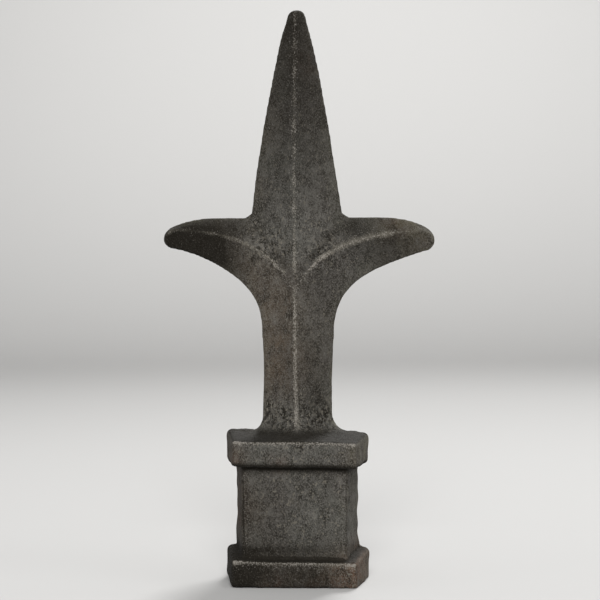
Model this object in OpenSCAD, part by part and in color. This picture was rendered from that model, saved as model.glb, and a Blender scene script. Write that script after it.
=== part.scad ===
// Cast-iron spear finial for the head of a square railing bar or a slim gate post.
// One casting: a flanged base with a blind square socket, a lozenge-section neck,
// two spreading side leaves and a pointed blade that rises between them.
// The mould parted on the plane y = 0, so every outline is fullest there and
// draws in towards the front (-Y) and the back (+Y).
// Origin: centre of the underside, +Z up.

/* [Bar and socket] */
// Side of the square bar that the socket slides over
bar_side = 25.4; // [19:0.2:32]
// Play between bar and socket, over the full width
socket_play = 1; // [0.4:0.1:2]
// Metal left between the end of the socket and the crown of the upper flange
socket_roof = 7; // [5:0.5:15]

/* [Base] */
// Height of the base, underside to the crown of the upper flange
base_h = 44; // [32:1:60]
// Wall beside the socket on the parting plane
side_wall = 4.8; // [4:0.2:8]
// Wall in front of and behind the socket
face_wall = 3.8; // [2.5:0.1:8]
// How far each flange stands out from the body
flange_step = 3; // [1.5:0.1:5]
// Thickness of each flange on the parting plane
flange_h = 9; // [6:0.5:14]
// Draft of the two sides, in degrees
side_draft = 8.5; // [2:0.5:9]
// Fall of each flange's top towards front and back, in degrees
crown_fall = 3.5; // [0:0.5:6]
// Radius on the outer edges of the base
edge_r = 1.2; // [0.5:0.1:2]

/* [Neck] */
// Width of the neck at its narrowest
neck_w = 20; // [14:0.5:23]
// Thickness of the neck over its two ridges
neck_t = 13; // [10:0.5:18]
// Height of the neck, from the base to where the leaves start to spread
neck_h = 32; // [24:1:50]
// Height of the narrowest place above the base
waist_h = 15; // [8:1:22]
// How much wider the neck is at the leaves than at its narrowest
neck_swell = 1.4; // [0:0.1:3]
// Radius of the fillet at the foot of the neck
foot_r = 5; // [2:0.5:7]
// Thickness of the thin outer edges of neck, leaves and blade
edge_t = 1.4; // [1:0.1:3]

/* [Leaves] */
// Span over both leaf tips
leaf_span = 80.8; // [66:0.5:110]
// Height of the leaves, from where they start to spread to their top edge
leaf_h = 32; // [26:1:45]
// Height of the ridge's fork above the start of the leaves
fork_h = 11; // [7:1:15]
// Drop from the top edge to the tip of a leaf
tip_drop = 6.5; // [4.5:0.5:8]
// Radius under the tip of a leaf
nose_r = 3; // [2:0.1:4]
// Length over which the top edge rounds down to the tip
brow_len = 16.4; // [8:0.2:20]
// Drop from the top edge to the outer end of the leaf's ridge
ridge_drop = 3.7; // [2.5:0.1:4.2]
// Thickness of a leaf over its ridge, near the tip
leaf_t = 5.6; // [4:0.2:8]
// Width of the steep bank between a leaf's ridge and the blade
bank_w = 4; // [2:0.2:5]
// Thickness left at the bottom of that bank
valley_t = 4.4; // [3:0.2:5]
// Radius of the corner between the leaf tops and the blade
corner_r = 1.8; // [1:0.1:3]

/* [Blade] */
// Height of the blade above the leaves
blade_h = 62; // [45:1:90]
// Width of the blade where it leaves the leaves
blade_w = 26.8; // [24:0.2:34]
// Width of the blunt point
point_w = 4.2; // [2.5:0.1:6]
// How far each edge of the blade bellies out from a straight line
blade_belly = 1.05; // [0:0.05:2]
// Thickness of the blade at the leaves, over its ridges
blade_t = 11.6; // [8:0.2:15]
// Thickness of the blunt point
point_t = 3.6; // [2:0.2:5]
// Radius that rounds the corners of the point
point_r = 1.6; // [0.6:0.1:2]

/* [Hidden] */

// Socket and base
socket_w = bar_side + socket_play;
socket_h = base_h - socket_roof;
body_w = socket_w + 2 * side_wall;
body_d = socket_w + 2 * face_wall;
flange_w = body_w + 2 * flange_step;
flange_d = body_d + 2 * flange_step;
corner_steps = 4;
// How far the socket's cutter starts below the underside
cut_past = 1;

// Neck, leaves and blade are lofts between the ridge line and the outer edge line
edge_y = edge_t / 2;
neck_y = neck_t / 2;
root_z = base_h + neck_h;
fork_z = root_z + fork_h;
top_z = root_z + leaf_h;
tip_z = top_z - tip_drop;
point_z = top_z + blade_h;
root_x = (neck_w + neck_swell) / 2;
tip_x = leaf_span / 2;
nose_x = tip_x - nose_r;
brow_x = tip_x - brow_len;
// Width left at the very end of a leaf's nose
blunt = 0.05;
// Pull of the leaf's lower edge: out from the neck, and down from the nose
under_out = 1.5;
under_drop = 6;
// Pull of the leaf's ridge: in from the neck's edge, and down from the leaf's top
ridge_in = 1.7;
ridge_under = 4.5;
// Where a leaf's ridge and its top line stop, short of the nose
ridge_short = 0.9;
brow_short = 0.4;
// Where a leaf's top line starts, inside the edge of the blade
blade_lap = 0.8;
// Most of the way from a leaf's ridge to its top that the bank may take
bank_most = 0.8;
// Bend of the ridge at the nose, and how far its end stands over the thin edge
nose_bend = 1;
nose_ridge = 0.3;
nose_bank = 0.1;
ridge_end = [nose_x - ridge_short, top_z - ridge_drop];
brow_end = nose_x - brow_short;
// Share of the foot's fillet by which the thin edges thicken
foot_edge = 0.5;
// How deep the lofts are rooted in their neighbours, so that they fuse
sunk = 3;
// Reach of each half of the neck past the middle, inside the other half
lap = 5;
// The blade runs down between the leaves as a tongue that ends inside the neck:
// how far it goes under the fork, how much slimmer and how much thinner it ends
tongue_drop = 6;
tongue_slim = 4;
tongue_sink = 0.2;
tongue_z = fork_z - tongue_drop;
tongue_w = neck_w - tongue_slim;
foot_steps = 5;
neck_steps = 10;
leaf_steps = 18;
nose_steps = 6;
blade_steps = 16;
point_steps = 4;
// Share of the point's rounding at which the blade's last ring closes it
point_end = 0.98;
// Share of a leaf's length at which its top edge comes clear of the blade
clear_at = 0.5;

function mix(a, b, k) = a + (b - a) * k;
function bow(a, b, c, k) = (1 - k) * (1 - k) * a + 2 * k * (1 - k) * b + k * k * c;
// Growth of a quarter-round fillet of radius r, at a distance d above its foot
function fillet(r, d) = d >= r ? 0 : r - sqrt(r * r - pow(r - max(d, 0), 2));

// Points of a closed outline with each corner rounded to radius r
function rounded(pts, r) = [
    for (i = [0:len(pts) - 1])
        let (p = pts[i])
        let (a = pts[(i + len(pts) - 1) % len(pts)] - p)
        let (b = pts[(i + 1) % len(pts)] - p)
        let (ua = a / norm(a))
        let (ub = b / norm(b))
        let (half = acos(ua * ub) / 2)
        let (run = r / tan(half))
        let (mid = p + (ua + ub) / norm(ua + ub) * r / sin(half))
        let (start = atan2(p[1] + ua[1] * run - mid[1], p[0] + ua[0] * run - mid[0]))
        let (stop = atan2(p[1] + ub[1] * run - mid[1], p[0] + ub[0] * run - mid[0]))
        let (turn = stop - start > 180 ? stop - start - 360
            : stop - start < -180 ? stop - start + 360 : stop - start)
        for (k = [0:corner_steps])
            mid + r * [cos(start + turn * k / corner_steps), sin(start + turn * k / corner_steps)]
];

// A block of the base, w by d on the parting plane: its sides draw in by the
// draft, its top falls by the crown, and its outer edges are rounded.
module cast_block(w, d, z0, z1, fall) {
    in = d / 2 * tan(side_draft);
    low = z1 - d / 2 * tan(fall);
    plan = [[w / 2, 0], [w / 2 - in, d / 2], [in - w / 2, d / 2],
        [-w / 2, 0], [in - w / 2, -d / 2], [w / 2 - in, -d / 2]];
    crown = fall > 0 ? [[0, z1]] : [];
    side = concat([[-d / 2, z0], [d / 2, z0], [d / 2, low]], crown, [[-d / 2, low]]);
    front = [[-w / 2, z0], [w / 2, z0], [w / 2, z1], [-w / 2, z1]];
    intersection() {
        translate([0, 0, z0])
            linear_extrude(z1 - z0)
                polygon(rounded(plan, edge_r));
        rotate([90, 0, 90])
            linear_extrude(w, center = true)
                polygon(rounded(side, edge_r));
        rotate([90, 0, 0])
            linear_extrude(d, center = true)
                polygon(rounded(front, edge_r));
    }
}

module base() {
    cast_block(flange_w, flange_d, 0, flange_h, crown_fall);
    cast_block(body_w, body_d, flange_h / 2, base_h - flange_h / 2, 0);
    cast_block(flange_w, flange_d, base_h - flange_h, base_h, crown_fall);
}

// Closed solid through a list of rings that all have the same number of points
module loft(rings) {
    n = len(rings[0]);
    last = len(rings) - 1;
    pts = [for (ring = rings) for (p = ring) p];
    walls = [
        for (j = [0:last - 1]) for (i = [0:n - 1])
            let (a = j * n + i)
            let (b = j * n + (i + 1) % n)
            each [[a, b + n, b], [a, a + n, b + n]]
    ];
    first_cap = [for (i = [0:n - 1]) i];
    last_cap = [for (i = [n - 1:-1:0]) last * n + i];
    polyhedron(pts, concat([first_cap], walls, [last_cap]));
}

// Half width of the neck at height z, slimmest at the waist
function neck_x(z) = neck_w / 2
    + neck_swell / 2 * pow((z - base_h - waist_h) / (neck_h - waist_h), 2);

// One ring of the right half: thin outer edge b, ridge r and inner edge t, each
// an [x, z] place, with the half thicknesses there
function half_ring(b, r, t, by, ry, vy) =
    let (k = min(bank_w / norm(t - r), bank_most))
    let (v = r + (t - r) * k)
    [[b[0], -by, b[1]], [b[0], by, b[1]], [r[0], ry, r[1]], [v[0], vy, v[1]],
        [t[0], edge_y, t[1]], [t[0], -edge_y, t[1]], [v[0], -vy, v[1]], [r[0], -ry, r[1]]];

// Foot: level rings that spread into the flange by the fillet
function foot_ring(z) =
    let (grow = fillet(foot_r, z - base_h))
    let (ring = half_ring([neck_x(max(z, base_h)) + grow, z], [0, z], [-lap, z],
        edge_y + grow * foot_edge, neck_y + grow, valley_t / 2))
    let (fall = tan(crown_fall) * grow / foot_r)
    [for (p = ring) [p[0], p[1], p[2] - fall * abs(p[1])]];

// Neck: rings that tilt up along the ridge towards the fork
function neck_ring(k) =
    let (start = base_h + foot_r)
    let (z = mix(start, root_z, k))
    let (rz = mix(start, fork_z, k))
    half_ring([neck_x(z), z], [0, rz], [-lap, rz], edge_y, neck_y, valley_t / 2);

// Top edge of a leaf at x: level, filleted up to the blade, rounded down to the tip
function leaf_top(x) = top_z
    - (x > brow_x ? tip_drop * (1 - sqrt(1 - pow((x - brow_x) / brow_len, 2))) : 0)
    + fillet(corner_r, x - blade_w / 2);

// Leaf: rings from the fork (k = 0) to where the nose starts (k = 1)
function leaf_ring(k) =
    let (nose_z = tip_z - nose_r)
    let (b = bow([root_x, root_z], [root_x + under_out, nose_z - under_drop], [nose_x, nose_z], k))
    let (r = bow([0, fork_z], [root_x - ridge_in, top_z - ridge_under], ridge_end, k))
    let (inner = blade_w / 2 - blade_lap)
    let (t = k < clear_at
        ? mix([-lap, fork_z], [inner, leaf_top(inner)], k / clear_at)
        : let (x = mix(inner, brow_end, (k - clear_at) / (1 - clear_at))) [x, leaf_top(x)])
    half_ring(b, r, t, edge_y, mix(neck_y, leaf_t / 2, k), mix(valley_t, edge_t, k * k) / 2);

// Nose: rings that close round the tip
function nose_ring(k) =
    let (end = tip_x - blunt)
    let (phi = asin((end - nose_x) / nose_r) * k)
    let (b = [nose_x + nose_r * sin(phi), tip_z - nose_r * cos(phi)])
    let (psi = mix(asin((brow_end - brow_x) / brow_len), asin((end - brow_x) / brow_len), k))
    let (x = brow_x + brow_len * sin(psi))
    let (r = bow(ridge_end, [tip_x - nose_bend, ridge_end[1]], [end, tip_z], k))
    let (ry = mix(leaf_t / 2, edge_y + nose_ridge, k * k))
    half_ring(b, r, [x, leaf_top(x)], edge_y, ry, edge_y + nose_bank);

// Right half of the neck with its leaf
module half_spray() {
    loft(concat(
        [foot_ring(base_h - sunk)],
        [for (i = [0:foot_steps - 1]) foot_ring(base_h + foot_r * (1 - cos(90 * i / foot_steps)))],
        [for (i = [0:neck_steps - 1]) neck_ring(i / neck_steps)],
        [for (i = [0:leaf_steps - 1]) leaf_ring(i / leaf_steps)],
        [for (i = [0:nose_steps]) nose_ring(i / nose_steps)]
    ));
}

// Half width of the blade at height z: bellied edges, a rounded point, and below
// the leaves a tongue that narrows into the neck
function blade_x(z) =
    let (k = (z - top_z) / blade_h)
    k < 0 ? mix(tongue_w, blade_w, (z - tongue_z) / (top_z - tongue_z)) / 2
    : (mix(blade_w, point_w, k) / 2 + blade_belly * (1 - pow(2 * k - 1, 2))
        - fillet(point_r, point_z - z));

// Half thickness of the blade over its ridges at height z
function blade_y(z) =
    (z < top_z ? mix(neck_t - tongue_sink, blade_t, (z - tongue_z) / (top_z - tongue_z))
        : mix(blade_t, point_t, (z - top_z) / blade_h)) / 2
    - fillet(point_r, point_z - z) / 2;

function blade_ring(z) =
    let (x = blade_x(z))
    let (y = blade_y(z))
    [[x, -edge_y, z], [x, edge_y, z], [0, y, z], [-x, edge_y, z], [-x, -edge_y, z], [0, -y, z]];

module blade() {
    taper = point_z - point_r;
    loft(concat(
        [for (i = [0:blade_steps]) blade_ring(mix(tongue_z, taper, i / blade_steps))],
        [for (i = [1:point_steps])
            blade_ring(taper + point_r * point_end * sin(90 * i / point_steps))]
    ));
}

module socket() {
    translate([-socket_w / 2, -socket_w / 2, -cut_past])
        cube([socket_w, socket_w, socket_h + cut_past]);
}

module spear_finial() {
    color([0.27, 0.26, 0.25])
        difference() {
            union() {
                base();
                half_spray();
                mirror([1, 0, 0])
                    half_spray();
                blade();
            }
            socket();
        }
}

spear_finial();
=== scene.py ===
import math

import bpy
import numpy as np
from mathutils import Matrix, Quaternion, Vector, noise
from mathutils.bvhtree import BVHTree


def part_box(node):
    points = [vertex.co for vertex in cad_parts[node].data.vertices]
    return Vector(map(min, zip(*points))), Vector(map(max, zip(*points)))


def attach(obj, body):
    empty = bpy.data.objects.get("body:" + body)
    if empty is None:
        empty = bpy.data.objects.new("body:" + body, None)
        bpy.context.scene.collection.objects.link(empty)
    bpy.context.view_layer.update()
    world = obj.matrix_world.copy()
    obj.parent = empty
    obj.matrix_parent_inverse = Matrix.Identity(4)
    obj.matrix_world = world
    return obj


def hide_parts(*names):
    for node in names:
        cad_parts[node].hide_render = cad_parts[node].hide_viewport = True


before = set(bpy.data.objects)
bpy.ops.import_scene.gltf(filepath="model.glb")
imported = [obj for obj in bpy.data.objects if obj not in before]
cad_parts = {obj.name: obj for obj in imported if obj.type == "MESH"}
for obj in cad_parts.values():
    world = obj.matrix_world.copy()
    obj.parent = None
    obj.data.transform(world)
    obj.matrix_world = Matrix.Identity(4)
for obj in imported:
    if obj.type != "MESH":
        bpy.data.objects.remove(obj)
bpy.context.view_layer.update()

# ---------------------------------------------------------------------------
# The spear finial
# One piece of grey cast iron, poured in a two-part sand mould that opened on the
# plane between front and back, so a thin seam of flash runs round its sides.
# It keeps its sand skin, browned by weather and rubbed bright on its ridges, with painted
# highlights on the ridges and painted shade in its recesses.
# ---------------------------------------------------------------------------
MM = 0.001
SKIN_CELL = 0.52 * MM       # spacing of the skin's mesh
BASE_TOP = 46 * MM          # just above the base's upper flange
LEAF_TOP = 108 * MM         # where the leaves end and the blade stands free
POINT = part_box("spear_finial")[1].z


def read(mesh, kind):
    """Every vertex's place ("co") or direction ("normal"), one row each."""
    flat = np.empty(len(mesh.vertices) * 3)
    mesh.vertices.foreach_get(kind, flat)
    return flat.reshape(-1, 3)


def write_points(mesh, points):
    mesh.vertices.foreach_set("co", points.ravel())
    mesh.update()


def cast_skin(cad_node):
    """A fine, even mesh of the casting, laid onto the true faces of the CAD solid."""
    coarse = bpy.data.objects.new("coarse_casting", cad_node.data.copy())
    bpy.context.scene.collection.objects.link(coarse)
    cells = coarse.modifiers.new("cells", "REMESH")
    cells.mode = "VOXEL"
    cells.voxel_size = SKIN_CELL
    depsgraph = bpy.context.evaluated_depsgraph_get()
    mesh = bpy.data.meshes.new_from_object(coarse.evaluated_get(depsgraph))
    mesh.materials.clear()
    true_faces = BVHTree.FromObject(cad_node, depsgraph)
    laid_on = [true_faces.find_nearest(Vector(point))[0] for point in read(mesh, "co")]
    write_points(mesh, np.array(laid_on))
    bpy.data.objects.remove(coarse)
    return mesh


iron_mesh = cast_skin(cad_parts["spear_finial"])
edges = np.empty(len(iron_mesh.edges) * 2, int)
iron_mesh.edges.foreach_get("vertices", edges)
edges = edges.reshape(-1, 2)
neighbour_count = np.bincount(edges.ravel(), minlength=len(iron_mesh.vertices))


def around(values):
    """Mean of each point's neighbours along the mesh edges."""
    columns = values.reshape(len(values), -1)
    total = np.stack([
        np.bincount(edges[:, 0], columns[edges[:, 1], i], len(values))
        + np.bincount(edges[:, 1], columns[edges[:, 0], i], len(values))
        for i in range(columns.shape[1])], 1)
    return (total / neighbour_count[:, None]).reshape(values.shape)


def proud(points, rounds):
    """How far each point stands above (or, below zero, lies under) its surroundings."""
    stand = np.einsum("ij,ij->i", points - around(points), read(iron_mesh, "normal"))
    for _ in range(rounds):
        stand = (stand + around(stand)) / 2
    return stand


def ramp(values, start, stop):
    """0 at start and before it, 1 at stop and past it, straight between them."""
    return np.clip((values - start) / (stop - start), 0, 1)


def near(values, middle, reach):
    """A bell that is 1 at the middle and has nearly gone two reaches away."""
    return np.exp(-((values - middle) / reach) ** 2)


# Corners of the pattern that molten iron and loose sand don't keep crisp
SOFTEN_ROUNDS = 2           # every corner is rounded over a little
BASE_ROUNDS = 10            # the base's outer corners are rounder than the ridges
FILLET_ROUNDS = 40          # metal has filled the inner corners above the base
TIGHT_BELOW = 39 * MM       # under the upper flange the inner corners stay sharp
SIDE_FILLET = 0.4           # except at the base's two sides, which filled in part
CORNER_STAND = 0.004 * MM   # a point that stands this proud is on a corner


def draw_in(points, rounds, where, side):
    """Wears down outer corners (side 1) or fills inner ones (side -1)."""
    for _ in range(rounds):
        write_points(iron_mesh, points)
        share = ramp(side * proud(points, 2), 0, CORNER_STAND) * where
        points = points + (around(points) - points) / 2 * share[:, None]
    return points


points = read(iron_mesh, "co")
for _ in range(SOFTEN_ROUNDS):
    points = (points + around(points)) / 2
x, y, z = points.T
on_base = ramp(z, BASE_TOP, BASE_TOP - 2 * MM)
points = draw_in(points, BASE_ROUNDS, on_base, 1)
x, y, z = points.T
at_sides = ramp(np.abs(x), 17.5 * MM, 18.5 * MM) * ramp(np.abs(y), 12 * MM, 8 * MM)
open_corner = np.maximum(ramp(z, TIGHT_BELOW, TIGHT_BELOW + 2 * MM), SIDE_FILLET * at_sides)
points = draw_in(points, FILLET_ROUNDS, open_corner, -1)

# The mould's two halves were a little out of line, and the leaves aren't quite alike
RIGHT_LEAF_SAG = 0.7 * MM
LEFT_LEAF_LIFT = 0.6 * MM
LEFT_TIP_LIFT = 0.6 * MM
LEAF_LEAN = 0.5 * MM
NECK_LEAN = 0.3 * MM
HALF_SHIFT = 0.11           # sideways slip of front against back, as a share of depth
MID_LEAF = 27 * MM          # half way out along a leaf, and how far its bend reaches
LEAF_REACH = 13 * MM
LEAF_TIP = 40 * MM
TIP_REACH = 9 * MM
NECK_MIDDLE = 80 * MM
NECK_REACH = 30 * MM

x, y, z = points.T
low_on_leaf = ramp(z, LEAF_TOP, LEAF_TOP - 10 * MM)
z -= RIGHT_LEAF_SAG * low_on_leaf * near(x, MID_LEAF, LEAF_REACH)
z += LEFT_LEAF_LIFT * low_on_leaf * near(x, -MID_LEAF, LEAF_REACH)
z += LEFT_TIP_LIFT * low_on_leaf * near(x, -LEAF_TIP, TIP_REACH)
above_base = ramp(z, BASE_TOP, BASE_TOP + 30 * MM)
x += above_base * (NECK_LEAN * near(z, NECK_MIDDLE, NECK_REACH) + HALF_SHIFT * y)
x += above_base * LEAF_LEAN * ramp(np.abs(x), 14 * MM, 26 * MM)
write_points(iron_mesh, points)
normals = read(iron_mesh, "normal")
sideways, forward, rising = normals.T
stand = proud(points, 3) / MM
broad_stand = proud(points, 16) / MM

# The print of the sand, blow holes and rust pits, and the flash on the parting line
WARP = 0.14 * MM            # slow unevenness of the hand-rammed mould
WARP_SIZE = 14 * MM
LUMP = 0.09 * MM            # swells left by the sand
LUMP_SIZE = 3.0 * MM
GRAIN = 0.07 * MM           # print of the sand itself
GRAIN_SIZE = 1.2 * MM
PIT_DEPTH = 0.35 * MM
PIT_RADIUS = 0.7 * MM
PIT_SPACING = 3.5 * MM
PIT_SHARE = 0.10            # share of those spaces that hold a pit
SEAM_HEIGHT = 0.30 * MM
SEAM_WIDTH = 0.55 * MM
SEAM_WAVE = 4 * MM          # length of the waves in the seam's height
NOISE_GAIN = 1.6            # stretches Blender's noise to about -1 to 1
# Soft spots, each (x, z, radius, strength), in millimetres: where the outline is
# fuller or leaner than the pattern, and where the sand was coarse
FULLER = [
    (-20.5, 34, 2.2, 1.1), (-21, 42.5, 3.5, 0.4), (20.3, 9.5, 2.5, 1.1),    # flange corners
    (-20, 1, 4, 0.6), (20.5, 1.5, 2.5, 0.3),                                # lower edge
    (-18.6, 15, 7, 0.4), (-18.6, 28, 5, 0.2),                               # left of the body
    (9, 67, 6, 0.25), (-26, 92, 9, 0.4), (9, 157, 9, 0.25),                 # neck, leaf, blade
]
LEANER = [
    (18.6, 18, 7, 0.3), (-12, 46, 3, 0.3), (-13, 44, 5, 0.4),               # base and foot
    (-9, 62, 8, 0.1), (-11, 84, 8, 0.35), (11, 85, 9, 0.3), (20, 91, 9, 0.25),    # neck, leaves
    (18, 124, 14, 0.25), (-4, 168.5, 3.5, 0.8),                             # blade and point
]
ROUGH = [
    (-12, 4, 7, 0.6), (3, 3, 7, 0.5), (16, 3, 6, 0.4), (0, 22, 13, 0.3),    # base
    (-7, 50, 5, 1.0), (7, 50, 5, 1.0), (0, 47, 8, 0.6),                     # foot of the neck
    (-9, 99, 7, 1.0), (9, 99, 6, 0.8),                                      # between leaf and blade
]


def stains(spots):
    """Soft spots of the list, summed at every point."""
    total = np.zeros(len(points))
    for spot_x, spot_z, radius, strength in spots:
        away = np.hypot(x / MM - spot_x, z / MM - spot_z) / radius
        total += strength * np.exp(-away ** 2)
    return total


def ripple(size, seed):
    """Smooth noise between about -1 and 1 at every point, with swells about size across."""
    shift = Vector((seed * 7.3, seed * 3.1, seed * 5.7))
    return np.array([noise.noise(Vector(p) / size + shift) for p in points]) * NOISE_GAIN


def pits(seed):
    """Round hollows, 1 at their middle and 0 outside them."""
    shift = Vector((seed * 2.9, seed * 8.3, seed * 4.1))
    depth = np.zeros(len(points))
    for i, p in enumerate(points):
        away, middles = noise.voronoi(Vector(p) / PIT_SPACING + shift)
        middle = middles[0]
        # A steady number between 0 and 1 that only depends on where the space is
        chance = (math.sin(middle.x * 91.7 + middle.y * 57.3 + middle.z * 33.1) + 1) / 2
        if chance < PIT_SHARE:
            depth[i] = max(0.0, 1 - (away[0] * PIT_SPACING / PIT_RADIUS) ** 2)
    return depth


rough = stains(ROUGH)
on_side = ramp(np.abs(forward), 2 / 3, 0)
off_seam = ramp(np.abs(y), 1.2 * MM, 2.2 * MM)
relief = WARP * ripple(WARP_SIZE, seed=1) * (0.5 + 0.5 * off_seam)
relief += LUMP * (1 + rough) * ripple(LUMP_SIZE, seed=2) * (0.4 + 0.6 * off_seam)
relief += GRAIN * (1 + 1.5 * rough) * ripple(GRAIN_SIZE, seed=3) * off_seam
relief -= PIT_DEPTH * pits(seed=4) * off_seam
relief += (stains(FULLER) - stains(LEANER)) * MM * on_side
seam = near(y, 0, SEAM_WIDTH) * on_side
relief += SEAM_HEIGHT * seam * (1 + (0.15 + 0.7 * on_base) * ripple(SEAM_WAVE, seed=5))
points = points + normals * relief[:, None]
points[:, 2] = np.maximum(points[:, 2], 0)
iron_mesh.polygons.foreach_set("use_smooth", [True] * len(iron_mesh.polygons))
write_points(iron_mesh, points)

# Where weather and hands have been, and where painted shade and highlight are laid: more soft
# spots, in the same form
BROWNED = [
    (-20, 4, 7, 1.0), (-9, 2, 6, 0.8), (2, 2, 6, 0.7), (12, 2, 7, 1.0), (21, 5, 7, 1.0),
    (-19, 22, 8, 1.0), (-20, 38, 5, 0.7), (20, 38, 5, 0.4),                 # body, upper flange
    (-7, 66, 12, 0.9), (-7, 84, 9, 0.7),                                    # left of the neck
    (-24, 100, 6, 0.6), (-15, 93, 7, 0.5), (30, 107, 6, 0.7), (37, 101, 5, 0.5),    # leaves
    (-16, 118, 6, 0.4), (-13, 136, 7, 0.5),                                 # blade
]
RUSTED = [
    (15, 1, 5, 0.8), (-6, 1, 3, 0.8), (5, 0, 3, 0.6), (20, 8, 4, 0.5),      # lower flange
    (-19, 20, 3, 0.9), (-19, 28, 3, 0.6),                                   # left of the body
    (-18, 36, 3, 0.4), (-5, 36, 3, 0.4),                                    # upper flange
    (30, 107, 4, 0.3), (5, 155, 5, 0.4),                                    # right leaf, blade
]
SALLOW = [
    (20, 25, 6, 0.5), (20, 39, 5, 0.6),                                     # right of the base
    (-37, 105, 4, 0.6), (38, 104, 5, 0.6), (32, 105, 4, 0.5), (26, 104, 3, 0.4),  # leaf tips
]
# Darker spots, partly soot and dirt and partly painted shade where less light falls
SOOT_AND_SHADE_SPOTS = [
    (-14, 4, 9, 0.95), (2, 3, 9, 0.7), (8, 3, 5, 0.3), (-21.5, 5, 5, 2.2),  # lower flange
    (-10, 22, 12, 0.25), (-20, 22, 8, 0.35), (-21.5, 40, 4, 0.4),           # left of the base
    (6, 53, 5, 0.5), (6, 66, 10, 0.4), (6, 86, 8, 0.25),                    # right of the neck
    (-36, 99, 8, 1.6), (-28, 95, 9, 1.35), (-20, 91, 6, 0.3),               # under the left leaf
    (-24, 106, 7, 0.6), (-17, 106, 4, 0.4),                                 # top of the left leaf
    (27, 98, 10, 0.6), (36, 100, 4, 0.3), (17, 106, 5, 0.7), (27, 108, 8, 0.2),   # right leaf
]
# Where the ridges are less rubbed and carry less painted highlight
LESS_RUB_AND_HIGHLIGHT = [
    (-34, 103, 10, 0.55), (39, 103, 7, 0.8), (-11, 94, 8, 0.3),             # leaves
    (0, 130, 20, 0.25), (0, 160, 14, 0.3),                                  # blade
]
# Where the ridges are rubbed brighter and carry more painted highlight
POLISH_AND_HIGHLIGHT = [
    (0, 48, 2.5, 0.5),                                                      # foot of the neck
    (8, 97, 2, 0.25), (12, 99.7, 2, 0.3), (17, 101.6, 2.2, 0.35),           # right leaf's ridge
    (22, 102.8, 2.2, 0.35), (27, 103.5, 2.2, 0.3),
]
LOWER_JOINT = 10.8 * MM     # where the body meets the lower flange
UPPER_JOINT = 33.8 * MM     # where it meets the upper one
SHARP_RIDGE = 0.08          # a ridge or edge that stands this proud is rubbed and given a painted highlight, in millimetres
BROAD_RIDGE = 0.05          # and so is a broad one that stands this proud
FLASH_WIDTH = 1.8 * MM      # the skin is sallow this far from the parting line
UNDER_SPREAD = 2            # how far the painted shadow below a flange creeps round its edges
UNDER_SHADE = 0.8            # how much painted shadow lies below the flanges,
LEDGE_SHADE_AND_DUST = 0.86           # painted shade and dust on top of them,
CORNER_SHADE = 0.6           # painted shade on the body's corners,
JOINT_SHADE = 0.45           # painted shadow in the joints between body and flanges,
BLADE_SOOT_AND_SHADE = 1.05           # and soot with painted shade on the blade, most of all at its point

x, y, z = points.T
facing = np.abs(forward)
on_leaf = ramp(np.abs(x), 6 * MM, 10 * MM) * (1 - on_base)
on_body = ramp(z, 12 * MM, 15 * MM) * ramp(z, 33 * MM, 31 * MM)
on_lower_flange = ramp(z, 12 * MM, 10 * MM)

# Ridges and edges that get rubbed and carry a painted highlight: on the base only those that face
# up and outwards
crest = np.clip(stand / SHARP_RIDGE + broad_stand / BROAD_RIDGE, 0, 1.3) + stains(POLISH_AND_HIGHLIGHT)
base_edge = ramp(rising, -0.214, 0.5) * ramp(facing, 0.3, 0.6)
rub_and_highlight = (1 - np.clip(stains(LESS_RUB_AND_HIGHLIGHT), 0, 1)) * (1 - on_base + on_base * base_edge) * off_seam

# Painted shade on the ledges (with some dust), under the flanges, in the joints and on the body's
# corners; soot with painted shade high on the blade
# Tops of the flanges darker: painted shade, with some dust
ledge = ramp(rising - 0.35 * on_lower_flange, 0.4, 0.65) * on_base
# Painted shade on the body's corner faces that turn to the sides
corner = near(np.abs(sideways), 0.6, 0.18) * on_body
flash = near(y, 0, FLASH_WIDTH) * ramp(facing, 1.3, 0.3) * (1 - 0.75 * on_base)
# Painted shadow on the flanges' undersides and on the strip of body just below them
under = ramp(-rising, 0.3, 0.7) * (on_base - ramp(z, 6 * MM, 5 * MM))
for _ in range(UNDER_SPREAD):
    under = np.clip(np.maximum(under, 1.7 * around(under)), 0, 1)
# Painted shadow bands where the body meets each flange
joints = 0.7 * near(z, LOWER_JOINT, 1.3 * MM) + near(z, UPPER_JOINT, 1.0 * MM)
# Darker up the blade to its point: soot, and painted shade where less light reaches
soot_and_shade_share = stains(SOOT_AND_SHADE_SPOTS) + BLADE_SOOT_AND_SHADE * ramp(z, LEAF_TOP, POINT) ** 0.65
soot_and_shade_share += UNDER_SHADE * under + LEDGE_SHADE_AND_DUST * ledge
soot_and_shade_share += CORNER_SHADE * corner + JOINT_SHADE * joints * on_base

masks = {
    "crest": crest * rub_and_highlight * (1 - 0.2 * on_base),
    "worn_and_highlit": (crest * (1 - 0.45 * on_leaf) - 0.05 * on_base) * rub_and_highlight,
    "rough": rough,
    # painted shade in hollows and creases
    "hollow_shade": ramp(-stand, 0.005, 0.021),
    "browned": stains(BROWNED),
    "rusted": stains(RUSTED),
    "sallow": stains(SALLOW) + 0.8 * flash,
    "soot_and_shade_share": soot_and_shade_share * (1 - 0.5 * flash),
}
for name, values in masks.items():
    layer = iron_mesh.attributes.new(name, "FLOAT", "POINT")
    layer.data.foreach_set("value", np.clip(values, 0, 1).astype(np.float32))

# Colours of the iron's skin, from its thin oxide to what the weather left on it, also used for its
# painted shade and highlights
DARK_IRON = (0.060, 0.055, 0.049, 1)
GREEN_GREY = (0.074, 0.072, 0.063, 1)
BROWN_SKIN = (0.100, 0.074, 0.052, 1)
RUST = (0.130, 0.058, 0.034, 1)
SALLOW_SKIN = (0.128, 0.118, 0.080, 1)
PALE_SAND = (0.139, 0.132, 0.118, 1)
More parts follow.
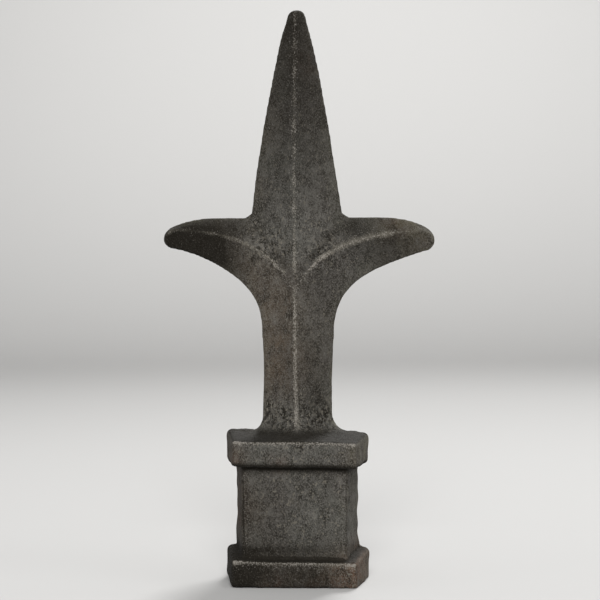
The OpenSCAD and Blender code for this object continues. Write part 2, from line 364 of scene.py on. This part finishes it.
# Smoothed skin, also the colour of the painted highlight on the crests
SMOOTHED_AND_HIGHLIGHT = (0.165, 0.150, 0.122, 1)
# Rubbed iron, also the colour of the painted highlight on the ridges
RUBBED_HIGHLIGHT = (0.27, 0.25, 0.22, 1)
# Soot, also the colour of the painted shade
SOOT_SHADE_COLOUR = (0.011, 0.009, 0.006, 1)
# Sizes of its markings, from single grains to the broad patches of the skin
GRIT_SIZE = 0.34 * MM
FLECK_SIZE = 0.6 * MM
BLOTCH_SIZE = 1.1 * MM
BUMP_SIZE = 1.2 * MM
CLUMP_SIZE = 2.5 * MM
RAGGED_SIZE = 4 * MM
DRIFT_SIZE = 5 * MM
PATCH_SIZE = 16 * MM
DRAWN_DOWN = (1, 1, 0.75)   # the grain is drawn out a little along the spear
BUMP_DEPTH = 0.35 * MM      # height of single grains, too fine for the mesh
GLOSS = 0.14                # a dry, dull skin mirrors little
DULLNESS = 0.8


def wire(value, socket):
    """Sets a socket to a number or colour, or links another node's output to it."""
    if isinstance(value, bpy.types.NodeSocket):
        socket.id_data.links.new(value, socket)
    else:
        socket.default_value = value


iron = bpy.data.materials.new("weathered_cast_iron")
iron.use_nodes = True
tree = iron.node_tree
shader = tree.nodes["Principled BSDF"]
stretch = tree.nodes.new("ShaderNodeMapping")
stretch.inputs["Scale"].default_value = DRAWN_DOWN
wire(tree.nodes.new("ShaderNodeTexCoord").outputs["Object"], stretch.inputs["Vector"])
place = stretch.outputs["Vector"]


def cloud(size, detail=3.0, roughness=0.6):
    """Raw noise with patches about size across."""
    made = tree.nodes.new("ShaderNodeTexNoise")
    made.inputs["Scale"].default_value = 1 / size
    made.inputs["Detail"].default_value = detail
    made.inputs["Roughness"].default_value = roughness
    wire(place, made.inputs["Vector"])
    return made.outputs["Fac"]


def span(value, low, high):
    """Stretches a value so that low becomes 0 and high becomes 1."""
    made = value.id_data.nodes.new("ShaderNodeMapRange")
    made.inputs["From Min"].default_value = low
    made.inputs["From Max"].default_value = high
    wire(value, made.inputs["Value"])
    return made.outputs["Result"]


def calc(kind, first, *others):
    """Arithmetic on a node's output and further outputs or numbers."""
    made = first.id_data.nodes.new("ShaderNodeMath")
    made.operation = kind
    for value, socket in zip((first, *others), made.inputs):
        wire(value, socket)
    return made.outputs[0]


def lay(share, under, over):
    """Lays one colour over another by a mask."""
    made = share.id_data.nodes.new("ShaderNodeMix")
    made.data_type = "RGBA"
    wire(share, made.inputs[0])
    wire(under, made.inputs[6])
    wire(over, made.inputs[7])
    return made.outputs[2]


def tint(colour, over, where, strength):
    """Lays a colour over what is there, by a mask at some strength."""
    return lay(calc("MULTIPLY", where, strength), colour, over)


def mask(name):
    made = tree.nodes.new("ShaderNodeAttribute")
    made.attribute_name = name
    return made.outputs["Fac"]


# Thin oxide in two tones, under brown, rust and sallow patches with ragged edges
ragged = span(cloud(RAGGED_SIZE), 0.3, 0.7)
colour = lay(span(cloud(PATCH_SIZE), 0.4, 0.6), DARK_IRON, GREEN_GREY)
colour = tint(colour, BROWN_SKIN, mask("browned"), calc("MULTIPLY_ADD", ragged, 0.6, 0.5))
colour = tint(colour, RUST, mask("rusted"), ragged)
colour = tint(colour, SALLOW_SKIN, mask("sallow"), ragged)

# Dark and pale drifts, then single grains of sand, coarser where the sand was rough
drift = cloud(DRIFT_SIZE, 4.0, 0.75)
colour = tint(colour, SOOT_SHADE_COLOUR, span(drift, 0.50, 0.34), 0.45)
colour = tint(colour, PALE_SAND, span(drift, 0.52, 0.68), 0.55)
grit = cloud(GRIT_SIZE, 1.0)
contrast = calc("MULTIPLY_ADD", mask("rough"), 0.4, 0.55)
pale_grains = span(grit, 0.48, 0.68)
colour = tint(colour, PALE_SAND, pale_grains, contrast)
clumped = calc("ADD", grit, calc("MULTIPLY", cloud(CLUMP_SIZE), 0.7))
dark_grains = span(clumped, 0.86, 0.64)
colour = tint(colour, SOOT_SHADE_COLOUR, dark_grains, contrast)
blotch = cloud(BLOTCH_SIZE, 1.0)
dark_blotch = calc("MULTIPLY", mask("rough"), span(blotch, 0.50, 0.36))
colour = tint(colour, SOOT_SHADE_COLOUR, dark_blotch, 0.8)
pale_blotch = calc("MULTIPLY", mask("rough"), span(blotch, 0.54, 0.68))
colour = tint(colour, SMOOTHED_AND_HIGHLIGHT, pale_blotch, 0.55)
flecks = span(cloud(FLECK_SIZE, 0.0), 0.67, 0.75)
colour = tint(colour, SMOOTHED_AND_HIGHLIGHT, flecks, contrast)

# Soot and painted shade over all of it, less on the pale grains, then painted shade in the hollows,
# and last what hands have rubbed clean, with a painted highlight on it
grain_left = calc("MULTIPLY_ADD", pale_grains, -0.17, 1.0)
colour = tint(colour, SOOT_SHADE_COLOUR, mask("soot_and_shade_share"), grain_left)
# Painted shade in the hollows and creases
colour = tint(colour, SOOT_SHADE_COLOUR, mask("hollow_shade"), 0.85)
# Painted highlight on the crests, with their wear
colour = tint(colour, SMOOTHED_AND_HIGHLIGHT, span(mask("crest"), 0.25, 0.9), 0.45)
rubbed_highlight = span(calc("ADD", mask("worn_and_highlit"), calc("MULTIPLY", grit, 2.2)), 1.55, 2.1)
colour = tint(colour, RUBBED_HIGHLIGHT, rubbed_highlight, 0.8)
wire(colour, shader.inputs["Base Color"])

shader.inputs["Specular IOR Level"].default_value = GLOSS
dull = calc("MULTIPLY_ADD", dark_grains, 0.15, DULLNESS)
wire(calc("MULTIPLY_ADD", rubbed_highlight, -0.3, dull), shader.inputs["Roughness"])
bump = tree.nodes.new("ShaderNodeBump")
bump.inputs["Strength"].default_value = 1.0
bump.inputs["Distance"].default_value = BUMP_DEPTH
sand_height = calc("ADD", grit, calc("MULTIPLY", cloud(BUMP_SIZE), 1.2))
wire(sand_height, bump.inputs["Height"])
wire(bump.outputs["Normal"], shader.inputs["Normal"])

iron_mesh.materials.append(iron)
finial = bpy.data.objects.new("spear_casting", iron_mesh)
bpy.context.scene.collection.objects.link(finial)
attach(finial, "root")
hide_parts("spear_finial")

# ---------------------------------------------------------------------------
# The table and the wall behind it
# One plain sheet of pale, matt paper: it lies flat under the finial and is swept
# up behind it in a quarter circle, so that no line shows between floor and wall.
# ---------------------------------------------------------------------------
SHEET_REACH = 1.25          # to the front and to each side
SHEET_BACK = 2.2            # to the wall
SHEET_RISE = 1.875          # height of the wall
SWEEP = 1.0                 # radius of the curve between floor and wall
SWEEP_STEPS = 16
PAPER_LIT = (0.45, 0.44, 0.43, 1)       # what it throws back onto the iron
PAPER_SEEN = (0.52, 0.515, 0.505, 1)    # how it looks, itself and in gloss

profile = [(-SHEET_REACH, 0.0), (SHEET_BACK - SWEEP, 0.0)]
for step in range(1, SWEEP_STEPS + 1):
    turn = math.radians(90 * step / SWEEP_STEPS)
    profile.append((SHEET_BACK - SWEEP + SWEEP * math.sin(turn), SWEEP - SWEEP * math.cos(turn)))
profile.append((SHEET_BACK, SHEET_RISE))
sides = (-SHEET_REACH, SHEET_REACH)
sheet_points = [(side, depth, rise) for depth, rise in profile for side in sides]
sheet_faces = [(2 * i, 2 * i + 1, 2 * i + 3, 2 * i + 2) for i in range(len(profile) - 1)]
sheet_mesh = bpy.data.meshes.new("pale_sheet")
sheet_mesh.from_pydata(sheet_points, [], sheet_faces)
sheet_mesh.polygons.foreach_set("use_smooth", [True] * len(sheet_faces))


def seen_share(tree):
    """1 where the eye, a gloss or a clear piece looks at a surface, 0 for its light."""
    path = tree.nodes.new("ShaderNodeLightPath")
    seen = calc("MAXIMUM", path.outputs["Is Camera Ray"], path.outputs["Is Glossy Ray"])
    return calc("MAXIMUM", seen, path.outputs["Is Transmission Ray"])


paper = bpy.data.materials.new("pale_paper")
paper.use_nodes = True
paper_shader = paper.node_tree.nodes["Principled BSDF"]
paper_colour = lay(seen_share(paper.node_tree), PAPER_LIT, PAPER_SEEN)
wire(paper_colour, paper_shader.inputs["Base Color"])
paper_shader.inputs["Roughness"].default_value = 0.9
sheet_mesh.materials.append(paper)
backdrop = bpy.data.objects.new("pale_sheet", sheet_mesh)
bpy.context.scene.collection.objects.link(backdrop)

# ---------------------------------------------------------------------------
# The lamps and the room
# One broad soft lamp high in front, a weak one at each side, one behind, and one
# on the wall alone. Each is shaded, so that the sheet below it isn't glaring.
# ---------------------------------------------------------------------------
SHADE = math.radians(70)    # how wide a lamp throws its light
ROOM_LIGHT = 0.32           # what the room throws onto the iron
ROOM_SEEN = 0.64            # how pale it looks, itself and in gloss
MID_FINIAL = (0, 0, POINT / 2)
MID_WALL = (0, 2.1, 0.6)


def soft_lamp(name, place, size, power, aim=MID_FINIAL):
    lamp = bpy.data.lights.new(name, "AREA")
    lamp.size = size
    lamp.energy = power
    lamp.spread = SHADE
    holder = bpy.data.objects.new(name, lamp)
    holder.location = place
    holder.rotation_euler = (Vector(aim) - Vector(place)).to_track_quat("-Z", "Y").to_euler()
    bpy.context.scene.collection.objects.link(holder)


soft_lamp("front_lamp", (0.09, -1.86, 1.17), 0.9, 6.4)
soft_lamp("right_lamp", (1.8, -0.70, 0.53), 0.8, 0.95)
soft_lamp("left_lamp", (-1.8, -0.70, 0.53), 0.8, 0.28)
soft_lamp("back_lamp", (0.4, 1.35, 1.35), 0.6, 5.0)
soft_lamp("wall_lamp", (0, 0.4, 2.0), 1.2, 10.0, MID_WALL)
room = bpy.data.worlds.new("room")
room.use_nodes = True
room_glow = room.node_tree.nodes["Background"]
room_glow.inputs["Color"].default_value = (1, 1, 1, 1)
glow = calc("MULTIPLY_ADD", seen_share(room.node_tree), ROOM_SEEN - ROOM_LIGHT, ROOM_LIGHT)
wire(glow, room_glow.inputs["Strength"])
bpy.context.scene.world = room
bpy.context.scene.view_settings.view_transform = "Standard"

# ---------------------------------------------------------------------------
# The camera
# It stands a little over half a metre in front, just above the middle of the
# finial and a few degrees round to the right.
# ---------------------------------------------------------------------------
AROUND = math.radians(3.08)
UP = math.radians(1.17)
ROLL = math.radians(0.25)
AWAY = 0.560
LENS = 112.0                # long enough to fill the frame from there, in millimetres
FILM_WIDTH = 36.0
target = Vector((0.00091, 0, 0.08345))
back = Vector((math.sin(AROUND) * math.cos(UP), -math.cos(AROUND) * math.cos(UP), math.sin(UP)))

lens = bpy.data.cameras.new("camera")
lens.lens = LENS
lens.sensor_width = FILM_WIDTH
lens.clip_start = 0.01
camera = bpy.data.objects.new("camera", lens)
camera.location = target + back * AWAY
camera.rotation_mode = "QUATERNION"
look = (-back).to_track_quat("-Z", "Y")
camera.rotation_quaternion = look @ Quaternion((0, 0, 1), -ROLL)
bpy.context.scene.collection.objects.link(camera)
bpy.context.scene.camera = camera
